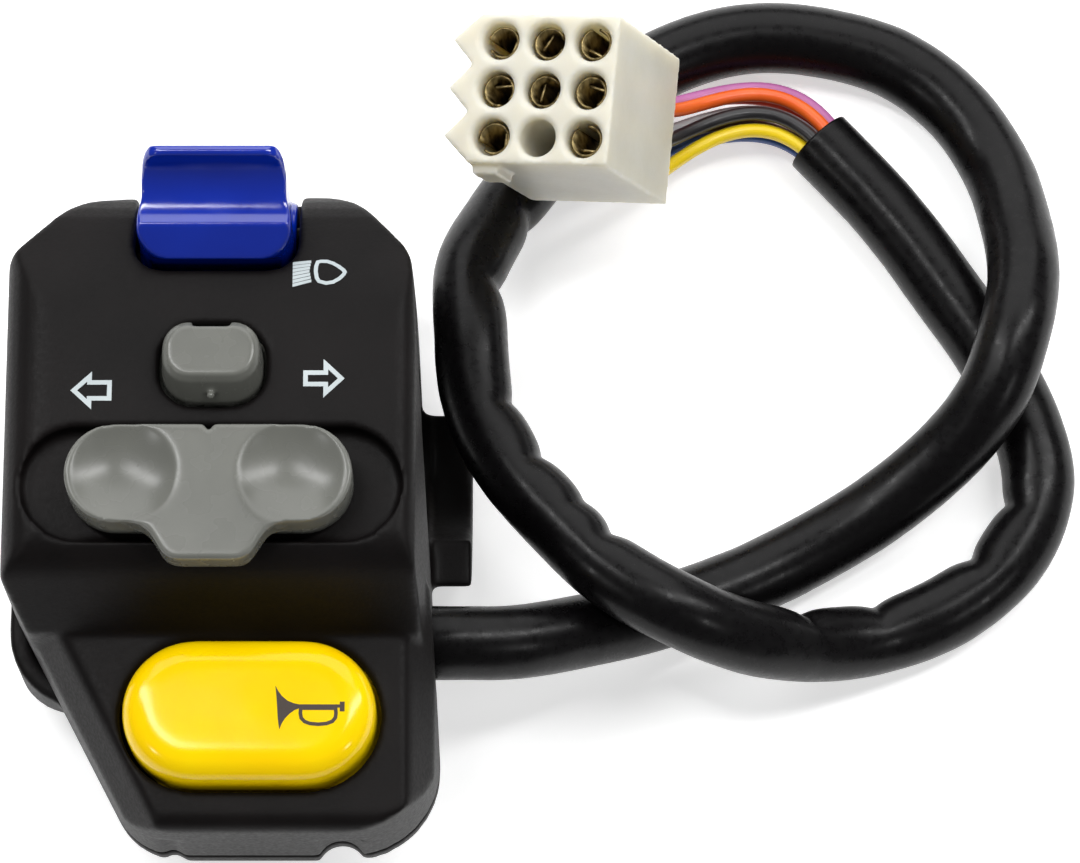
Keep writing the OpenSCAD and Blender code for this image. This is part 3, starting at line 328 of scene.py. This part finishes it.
# Moulded pieces: copies of their solids with the soft edges of a moulding
mouldSet = {
    # node: name, body, slot, voxel in mm, smoothing passes, most triangles
    "front_housing": ("frontShell", "housing", "housing_abs", 0.34, 4, 180000),
    "rear_housing": ("rearShell", "housing", "housing_abs", 0.36, 4, 150000),
    "dip_rocker": ("headlampRocker", "rocker", "rocker_blue", 0.16, 11, 120000),
    "turn_slider": ("turnKnob", "slider", "control_grey", 0.18, 12, 140000),
    "cancel_button": ("cancelButton", "cancel", "control_grey", 0.13, 10, 100000),
    "horn_button": ("hornButton", "horn", "horn_yellow", 0.2, 40, 120000),
    "connector_housing": ("connectorShell", "housing", "connector_nylon", 0.2, 3, 150000),
}
smoothing = 0.5  # share of the way to its neighbours that a point goes in a pass
# the moulded nub on the cancel button's front
nubSet = {"inset": 0.95, "z": 25.6, "radius": 0.45, "rounds": 3}


def cancelNub(bm):
    low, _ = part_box("cancel_button")
    place = Matrix.Translation((0, low.y + nubSet["inset"] * mm, nubSet["z"] * mm))
    bmesh.ops.create_icosphere(bm, subdivisions=nubSet["rounds"], radius=nubSet["radius"] * mm, matrix=place)


def mouldedCopy(nodeName, voxel, passes, most, extra=None):
    bm = bmesh.new()
    bm.from_mesh(frame["nodes"][nodeName].data)
    bmesh.ops.remove_doubles(bm, verts=bm.verts, dist=weld)
    if extra:
        extra(bm)
    holder = bpy.data.objects.new(nodeName + "Draft", meshFrom(bm, nodeName + "Draft"))
    scene.collection.objects.link(holder)
    remesh = holder.modifiers.new("remesh", "REMESH")
    remesh.mode = "VOXEL"
    remesh.voxel_size = voxel * mm
    bm = bmesh.new()
    bm.from_mesh(evaluated(holder))
    for _ in range(passes):
        bmesh.ops.smooth_vert(bm, verts=bm.verts, factor=smoothing,
                              use_axis_x=True, use_axis_y=True, use_axis_z=True)
    count = sum(len(f.verts) - 2 for f in bm.faces)
    holder.modifiers.clear()
    draft = meshFrom(bm, nodeName + "Draft")
    if count > most:
        holder.data = draft
        thin = holder.modifiers.new("thin", "DECIMATE")
        thin.ratio = most / count
        draft = evaluated(holder)
    bpy.data.objects.remove(holder)
    draft.shade_smooth()
    print(nodeName, "moulded,", count, "triangles before thinning")
    return draft


moulded = {}
for nodeName, (name, body, slot, voxel, passes, most) in mouldSet.items():
    extra = cancelNub if nodeName == "cancel_button" else None
    mesh = mouldedCopy(nodeName, voxel, passes, most, extra)
    moulded[name] = addObject(name, mesh, body, slot, [nodeName])


# Sockets: rolled brass tubes with an open seam and a leaf inside
socketSet = {
    "radius": 1.65,
    "wall": 0.22,
    "from": 4.0,
    "to": 18.0,
    "sides": 36,
    "seam": 40,  # degrees left open
    "turnStep": 95,  # each socket was pushed in at its own turn
    "leaf": (0.3, 1.9),  # thickness and width
    "leafTurn": 150,  # from the seam round to the leaf
    "leafOut": 0.75,
    "leafShort": 1.5,  # how much shorter than the tube it is
    "leafSunk": 0.6,
    "leafEdge": 0.08,
}


def makeSocket(spec, turn):
    part = bmesh.new()
    length = spec["to"] - spec["from"]
    middle = spec["from"] + length / 2
    bmesh.ops.create_cone(part, cap_ends=False, segments=spec["sides"], radius1=spec["radius"],
                          radius2=spec["radius"], depth=length)
    bmesh.ops.translate(part, verts=part.verts, vec=(0, 0, middle))
    seam = []
    for face in part.faces:
        centre = face.calc_center_median()
        off = math.degrees(math.atan2(centre.y, centre.x)) - turn
        if abs((off + 180) % 360 - 180) < spec["seam"] / 2:
            seam.append(face)
    bmesh.ops.delete(part, geom=seam, context="FACES")
    bmesh.ops.solidify(part, geom=part.faces[:], thickness=spec["wall"])
    leaf = bmesh.ops.create_cube(part, size=1)["verts"]
    bmesh.ops.scale(part, vec=(*spec["leaf"], length - spec["leafShort"]), verts=leaf)
    bmesh.ops.translate(part, verts=leaf, vec=(spec["leafOut"], 0, middle - spec["leafSunk"]))
    swing = Matrix.Rotation(math.radians(turn + spec["leafTurn"]), 3, "Z")
    bmesh.ops.rotate(part, verts=leaf, cent=(0, 0, 0), matrix=swing)
    edges = list(dict.fromkeys(e for v in leaf for e in v.link_edges))
    bmesh.ops.bevel(part, geom=edges, offset=spec["leafEdge"], affect="EDGES", segments=2,
                    profile=0.5, material=-1)
    return part


def makeSockets(spec):
    bm = bmesh.new()
    for i, (cell, _) in enumerate(wireSet["ends"].values()):
        part = makeSocket(spec, i * spec["turnStep"] % 360)
        place = Matrix.Translation(plugSet["pitch"] * Vector((*cell, 0)))
        bmesh.ops.transform(part, matrix=Matrix.Scale(mm, 4) @ plugFrame @ place, verts=part.verts)
        whole = meshFrom(part, "socketPart")
        bm.from_mesh(whole)
        bpy.data.meshes.remove(whole)
    bmesh.ops.recalc_face_normals(bm, faces=bm.faces)
    return meshFrom(bm, "socketSet")


sockets = addObject("socketSet", makeSockets(socketSet), "housing", "brass", ["connector_sockets"])
print("sockets made")


# Springs: round wire wound in a helix
springSet = {
    # node: name, body, mean radius, wire, turns, joint that presses it
    "cancel_spring": ("cancelCoil", "housing", 2.3, 0.5, 5, "cancel_push"),
    "horn_spring": ("hornCoil", "housing", 2.9, 0.6, 4.5, "horn_push"),
    "detent_spring": ("detentCoil", "slider", 0.85, 0.35, 2.5, None),
    "dip_plunger_spring": ("plungerCoil", "rocker", 0.85, 0.3, 2, None),
}
coilSet = {"stepsPerTurn": 32, "wireSides": 12}


def makeCoil(nodeName, radius, wire, turns):
    low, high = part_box(nodeName)
    centre = (low + high) / 2
    steps = int(turns * coilSet["stepsPerTurn"])
    first, last = low.z + wire / 2 * mm, high.z - wire / 2 * mm
    bm = bmesh.new()
    ring = bmesh.ops.create_circle(bm, cap_ends=False, segments=coilSet["wireSides"],
                                   radius=wire / 2 * mm)["verts"]
    bmesh.ops.rotate(bm, verts=ring, cent=(0, 0, 0), matrix=Matrix.Rotation(math.pi / 2, 3, "X"))
    bmesh.ops.translate(bm, verts=ring, vec=(centre.x + radius * mm, centre.y, first))
    bmesh.ops.spin(bm, geom=bm.verts[:] + bm.edges[:], cent=(centre.x, centre.y, 0), axis=(0, 0, 1),
                   dvec=(0, 0, (last - first) / steps), angle=turns * 2 * math.pi, steps=steps)
    bmesh.ops.remove_doubles(bm, verts=bm.verts, dist=weld)
    closeShell(bm)
    return meshFrom(bm, nodeName + "Coil")


for nodeName, (name, body, radius, wire, turns, joint) in springSet.items():
    coil = addObject(name, makeCoil(nodeName, radius, wire, turns), body, "steel", [nodeName])
    if joint:
        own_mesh(coil)
print("springs made,", len(springSet))


# Printed signs: thin ink films laid on the moulding under them
signSet = {
    "line": 0.46,  # width of the printed stroke
    "lift": 0.03,
    "film": 0.12,
    "above": 50,  # height from which a sign is dropped onto the moulding
    # tip, way the tail lies, head length, head half height, whole length, shaft half height
    "leftArrow": ((-13.98, -2.66), 1, 2.1, 1.95, 4.08, 1.05),
    "rightArrow": ((13.1, -1.42), -1, 2.1, 2.0, 4.1, 0.82),
    "arrowCuts": 2,
    "bulb": [(10.3, 8.62), (11.1, 8.38), (11.9, 8.52), (12.6, 8.98), (13.05, 9.5), (13.18, 9.86),
             (13.0, 10.2), (12.48, 10.66), (11.9, 11.05), (11.2, 11.32), (10.5, 11.34), (10.08, 11.2),
             (9.9, 10.6), (9.87, 9.9), (10.0, 9.1)],
    "bulbLine": 0.391,
    "beam": [(7.8, 8.15), (7.75, 11.1), (9.62, 11.3), (9.68, 8.7)],  # the block of close strokes
    "beamStrokes": 7,
    "beamInk": 0.86,  # the rest of each stroke's room is a hair of black
    "beamHollow": 0.22,  # the block's right edge is hollow, to the bulb's round
    "hollowAt": 0.45,
    "lampCuts": 3,
    "bell": [(6.39, -31.19), (6.52, -32.3), (6.6, -33.45), (6.68, -34.6), (6.83, -35.63), (7.05, -35.05),
             (7.35, -34.55), (7.8, -34.05), (8.3, -33.68), (8.75, -33.5), (8.75, -33.1), (8.2, -32.98),
             (7.6, -32.72), (7.05, -32.25), (6.65, -31.7)],
    "pipe": [(8.7, -33.5), (12.8, -33.42), (12.8, -33.1), (8.7, -33.1)],
    "mouth": [(12.75, -33.8), (13.22, -33.8), (13.22, -32.82), (12.75, -32.82)],
    "loop": [(8.75, -33.3), (8.7, -34.0), (8.8, -34.55), (9.2, -34.98), (9.8, -35.2), (10.65, -35.28),
             (11.5, -35.2), (12.15, -34.95), (12.5, -34.5), (12.56, -34.0), (12.5, -33.3)],
    "loopLine": 0.36,
}


def outlineFace(bm, points):
    return bm.faces.new([bm.verts.new((x * mm, y * mm, 0)) for x, y in points])


def strokeRing(bm, points, width):
    face = outlineFace(bm, points)
    face.normal_update()
    bmesh.ops.inset_region(bm, faces=[face], thickness=width * mm, use_boundary=True, use_even_offset=True)
    bmesh.ops.delete(bm, geom=[face], context="FACES")


def makeArrow(tip, way, head, headHalf, length, shaftHalf):
    bm = bmesh.new()
    shape = [(0, 0), (head, headHalf), (head, shaftHalf), (length, shaftHalf), (length, -shaftHalf),
             (head, -shaftHalf), (head, -headHalf)]
    strokeRing(bm, [(tip[0] + way * x, tip[1] + y) for x, y in shape], signSet["line"])
    bmesh.ops.subdivide_edges(bm, edges=bm.edges, cuts=signSet["arrowCuts"], use_grid_fill=True)
    return bm


def makeHeadlamp():
    bm = bmesh.new()
    strokeRing(bm, signSet["bulb"], signSet["bulbLine"])
    lowLeft, highLeft, highRight, lowRight = [Vector(p) for p in signSet["beam"]]
    count = signSet["beamStrokes"]
    for i in range(count):
        t0, t1 = i / count, (i + signSet["beamInk"]) / count
        bow = signSet["beamHollow"] * (1 - abs(2 * (t0 - signSet["hollowAt"])))
        left0, left1 = lowLeft.lerp(highLeft, t0), lowLeft.lerp(highLeft, t1)
        right0, right1 = lowRight.lerp(highRight, t0), lowRight.lerp(highRight, t1)
        outlineFace(bm, [left0, (right0.x - bow, right0.y), (right1.x - bow, right1.y), left1])
    bmesh.ops.subdivide_edges(bm, edges=bm.edges, cuts=signSet["lampCuts"], use_grid_fill=True)
    return bm


def makeHorn():
    bm = bmesh.new()
    for part in ("bell", "pipe", "mouth"):
        outlineFace(bm, signSet[part])
    strokeRing(bm, signSet["loop"], signSet["loopLine"])
    bmesh.ops.triangulate(bm, faces=bm.faces)
    return bm


def layOn(bm, target):
    tree = BVHTree.FromObject(target, bpy.context.evaluated_depsgraph_get())
    for v in bm.verts:
        hit = tree.ray_cast(Vector((v.co.x, v.co.y, signSet["above"] * mm)), Vector((0, 0, -1)))[0]
        v.co.z = hit.z + signSet["lift"] * mm
    bmesh.ops.recalc_face_normals(bm, faces=bm.faces)
    if sum(f.normal.z for f in bm.faces) < 0:
        bmesh.ops.reverse_faces(bm, faces=bm.faces)
    skirt = bmesh.ops.extrude_face_region(bm, geom=[e for e in bm.edges if e.is_boundary])["geom"]
    for v in (g for g in skirt if isinstance(g, bmesh.types.BMVert)):
        v.co.z -= signSet["film"] * mm


signs = {}
for name, bm, target, body in (
        ("leftArrowPrint", makeArrow(*signSet["leftArrow"]), "frontShell", "housing"),
        ("rightArrowPrint", makeArrow(*signSet["rightArrow"]), "frontShell", "housing"),
        ("headlampPrint", makeHeadlamp(), "frontShell", "housing"),
        ("hornPrint", makeHorn(), "hornButton", "horn")):
    layOn(bm, moulded[target])
    signs[name] = addObject(name, meshFrom(bm, name, False), body)
print("signs laid,", len(signs))


# Materials
plasticSet = {
    "cloud": 9.0,  # mm over which the tone drifts
    "cloudDetail": 3,
    "grainDetail": 2,
    "grainRoughness": 0.6,
    "low": 0.3,  # noise values between which tone and roughness change
    "high": 0.7,
}
metalSet = {"drawn": 0.12, "detail": 4, "low": 0.3, "high": 0.72}  # streaks are drawn out along z


def addNode(tree, kind, inputs=None):
    made = tree.nodes.new("ShaderNode" + kind)
    for name, value in (inputs or {}).items():
        if isinstance(value, bpy.types.NodeSocket):
            tree.links.new(value, made.inputs[name])
        else:
            made.inputs[name].default_value = value
    return made


def startMaterial(name, **fixed):
    material = bpy.data.materials.new(name)
    material.use_nodes = True
    tree = material.node_tree
    shader = tree.nodes["Principled BSDF"]
    for key, value in fixed.items():
        shader.inputs[key].default_value = value
    place = addNode(tree, "TexCoord").outputs["Object"]
    return material, tree, shader, place


def perMetre(sizeMm):
    return 1 / (sizeMm * mm)


def texturedPlastic(name, dark, light, grain, grainDepth, roughLow, roughHigh, **fixed):
    material, tree, shader, place = startMaterial(name, **fixed)
    cloud = addNode(tree, "TexNoise", {"Vector": place, "Scale": perMetre(plasticSet["cloud"]),
                                       "Detail": plasticSet["cloudDetail"]})
    tone = addNode(tree, "ValToRGB", {"Fac": cloud.outputs["Fac"]})
    tone.color_ramp.elements[0].color = linear(dark)
    tone.color_ramp.elements[0].position = plasticSet["low"]
    tone.color_ramp.elements[1].color = linear(light)
    tone.color_ramp.elements[1].position = plasticSet["high"]
    tree.links.new(tone.outputs["Color"], shader.inputs["Base Color"])
    speck = addNode(tree, "TexNoise", {"Vector": place, "Scale": perMetre(grain),
                                       "Detail": plasticSet["grainDetail"],
                                       "Roughness": plasticSet["grainRoughness"]})
    rough = addNode(tree, "MapRange", {"Value": speck.outputs["Fac"], "From Min": plasticSet["low"],
                                       "From Max": plasticSet["high"],
                                       "To Min": roughLow, "To Max": roughHigh})
    tree.links.new(rough.outputs["Result"], shader.inputs["Roughness"])
    bump = addNode(tree, "Bump", {"Height": speck.outputs["Fac"], "Strength": 1.0,
                                  "Distance": grainDepth * mm})
    tree.links.new(bump.outputs["Normal"], shader.inputs["Normal"])
    return material


def stampedMetal(name, dark, light, grain, roughLow, roughHigh):
    material, tree, shader, place = startMaterial(name, Metallic=1.0)
    drawn = addNode(tree, "Mapping", {"Vector": place, "Scale": (1, 1, metalSet["drawn"])})
    streak = addNode(tree, "TexNoise", {"Vector": drawn.outputs["Vector"], "Scale": perMetre(grain),
                                        "Detail": metalSet["detail"]})
    tone = addNode(tree, "ValToRGB", {"Fac": streak.outputs["Fac"]})
    tone.color_ramp.elements[0].color = linear(dark)
    tone.color_ramp.elements[0].position = metalSet["low"]
    tone.color_ramp.elements[1].color = linear(light)
    tone.color_ramp.elements[1].position = metalSet["high"]
    tree.links.new(tone.outputs["Color"], shader.inputs["Base Color"])
    rough = addNode(tree, "MapRange", {"Value": streak.outputs["Fac"],
                                       "To Min": roughLow, "To Max": roughHigh})
    tree.links.new(rough.outputs["Result"], shader.inputs["Roughness"])
    return material


# Skins: how strongly a surface mirrors the studio, and how far light goes into it
mattSkin = {"IOR": 1.48, "Specular IOR Level": 0.13}
dullSkin = {"IOR": 1.48, "Specular IOR Level": 0.2}
wetSkin = {"IOR": 1.53, "Specular IOR Level": 0.9}
softSkin = {"IOR": 1.46, "Specular IOR Level": 0.3}
milky = {"IOR": 1.53, "Subsurface Weight": 0.8, "Subsurface Radius": (1.0, 0.9, 0.7),
         "Subsurface Scale": 3.5 * mm}
finishes = {
    # name, dark and light tone, grain in mm, its depth in mm on a plastic, least and most roughness, skin
    # ABS moulded in a spark-eroded tool: a dull, faintly warm black, its fine grain drawn at 0.4 mm to show
    "housing_abs": texturedPlastic("mouldedAbsBlack", "#0c0a0a", "#131010", 0.4, 0.02, 0.42, 0.54,
                                   **mattSkin),
    # Polished ABS: deep blue with a slow ripple in its gloss
    "rocker_blue": texturedPlastic("polishedAbsBlue", "#00249a", "#002aa8", 5.0, 0.012, 0.1, 0.17,
                                   **wetSkin),
    # Acetal: satin mid grey with a soft bloom
    "control_grey": texturedPlastic("satinAcetalGrey", "#646560", "#6f706a", 3.0, 0.004, 0.25, 0.29,
                                    IOR=1.48),
    # Polished ABS in signal yellow, with small soft highlights
    "horn_yellow": texturedPlastic("polishedAbsYellow", "#ffd000", "#ffda00", 6.0, 0.01, 0.1, 0.16,
                                   **softSkin),
    # Natural nylon 66: milky, a little cream in the thick places
    "connector_nylon": texturedPlastic("naturalNylon", "#cec9b8", "#dbd7c8", 0.6, 0.006, 0.34, 0.46,
                                       **milky),
    # Paper-filled phenolic board: brown and mottled
    "contact_phenolic": texturedPlastic("phenolicBoard", "#4a2e1a", "#6b472b", 0.5, 0.01, 0.5, 0.62,
                                        IOR=1.6),
    # Soft PVC sleeving: black with a slightly greasy satin and a fine grain
    "sleeve_pvc": texturedPlastic("softPvcSleeve", "#070607", "#0c0b0c", 0.9, 0.012, 0.24, 0.36,
                                  **dullSkin),
    # Brass strip: yellow, drawn and a little tarnished
    "brass": stampedMetal("stampedBrass", "#8a6a2c", "#d9b25c", 0.5, 0.22, 0.42),
    # Zinc-plated steel: pale and faintly streaked
    "steel": stampedMetal("zincPlatedSteel", "#8d9094", "#c9ccd0", 0.4, 0.22, 0.4),
}
wireColours = {
    "pink": ("#a4578f", "#b86ca4"), "orange": ("#e0500e", "#f26a1c"), "red": ("#d6350f", "#e84a1c"),
    "black": ("#141315", "#201e21"), "grey": ("#9a9c9e", "#b2b4b6"), "yellow": ("#f0cc06", "#fbdc20"),
    "blue": ("#14306e", "#204890"), "brown": ("#5a3a26", "#7a5238")}
for colour, (dark, light) in wireColours.items():  # extruded PVC insulation, satin
    finishes["pvc_" + colour] = texturedPlastic("wirePvc_" + colour + "_finish", dark, light,
                                                0.7, 0.006, 0.3, 0.42, IOR=1.54)
# Steel for the rocker's pin, darkened as painted shade for the gap it shows through
gapShadedSteel = stampedMetal("steelDarkenedAsGapShade", "#141416", "#26272a", 0.5, 0.4, 0.6)
# Brass for the sockets: darkened to brown as painted shade, for their place deep in the cavities
cavityShadedBrass = stampedMetal("brassDarkenedAsCavityShade", "#352b1a", "#a8966a", 0.6, 0.25, 0.5)
# Pad-printed ink: thin, flat and a little broken
whiteInk = texturedPlastic("padPrintWhite", "#aeb8bb", "#c6cfd1", 0.35, 0.004, 0.5, 0.66, IOR=1.5)
brownInk = texturedPlastic("padPrintBrown", "#2c1c12", "#3f2b1c", 0.35, 0.004, 0.4, 0.56, IOR=1.5)

nodeSlots = {p["node"]: p["material_slot"] for p in frame["record"]["subparts"]}
ownFinish = {name: whiteInk for name in signs}
# the rocker's pin takes steel darkened as painted shade for its gap
# the sockets take brass darkened as painted shade for their cavities
ownFinish.update({"hornPrint": brownInk, "socketSet": cavityShadedBrass, "rocker_pivot_pin": gapShadedSteel})
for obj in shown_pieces():
    cadNode = obj.get("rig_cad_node")
    slotName = obj.get("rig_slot") or nodeSlots.get(cadNode)
    obj.data.materials.clear()
    obj.data.materials.append(ownFinish.get(cadNode or obj.name) or finishes[slotName])
print("materials given")


# Floor and light: a white sweep in a bright studio
studioSet = {
    "floor": "#f4f4f4",
    "floorSize": 6.0,  # metres
    "floorZ": -16.0,
    "floorRough": 0.9,
    "glow": 0.55,  # the floor's own light, which keeps it white to the edges
    "world": 0.14,
    "aim": (0.02, 0, 0),  # metres, where the lights point
}
white = (1, 1, 1, 1)
bm = bmesh.new()
bmesh.ops.create_grid(bm, x_segments=1, y_segments=1, size=studioSet["floorSize"] / 2,
                      matrix=Matrix.Translation((0, 0, studioSet["floorZ"] * mm)))
floor = bpy.data.objects.new("studioFloor", meshFrom(bm, "studioFloor", False))
scene.collection.objects.link(floor)
floorMaterial, _, floorShader, _ = startMaterial("matteWhitePaper", Roughness=studioSet["floorRough"])
floorShader.inputs["Base Color"].default_value = linear(studioSet["floor"])
floorShader.inputs["Emission Color"].default_value = white
floorShader.inputs["Emission Strength"].default_value = studioSet["glow"]
floor.data.materials.append(floorMaterial)

world = bpy.data.worlds.new("studioWorld")
scene.world = world
world.use_nodes = True
world.node_tree.nodes["Background"].inputs["Color"].default_value = white
world.node_tree.nodes["Background"].inputs["Strength"].default_value = studioSet["world"]
lightSet = [
    # name, place in metres, width, height, power in watts
    ("leftStrip", (-0.25, 0.15, 0.58), 0.08, 0.5, 1.9),
    ("rightStrip", (0.36, 0.15, 0.55), 0.08, 0.5, 1.9),
    ("backBox", (0.03, 0.6, 0.5), 1.0, 0.7, 4.6),
    ("leftLamp", (-0.4, -0.3, 0.45), 0.07, 0.07, 0.3),
    ("rightLamp", (0.46, -0.3, 0.45), 0.07, 0.07, 0.3),
]
for name, place, width, height, power in lightSet:
    light = bpy.data.lights.new(name, "AREA")
    light.shape = "RECTANGLE"
    light.size = width
    light.size_y = height
    light.energy = power
    lamp = bpy.data.objects.new(name, light)
    scene.collection.objects.link(lamp)
    lamp.location = place
    beam = Vector(studioSet["aim"]) - Vector(place)
    lamp.rotation_euler = beam.to_track_quat("-Z", "Y").to_euler()
scene.view_settings.view_transform = "Standard"
scene.view_settings.look = "None"
print("studio set")
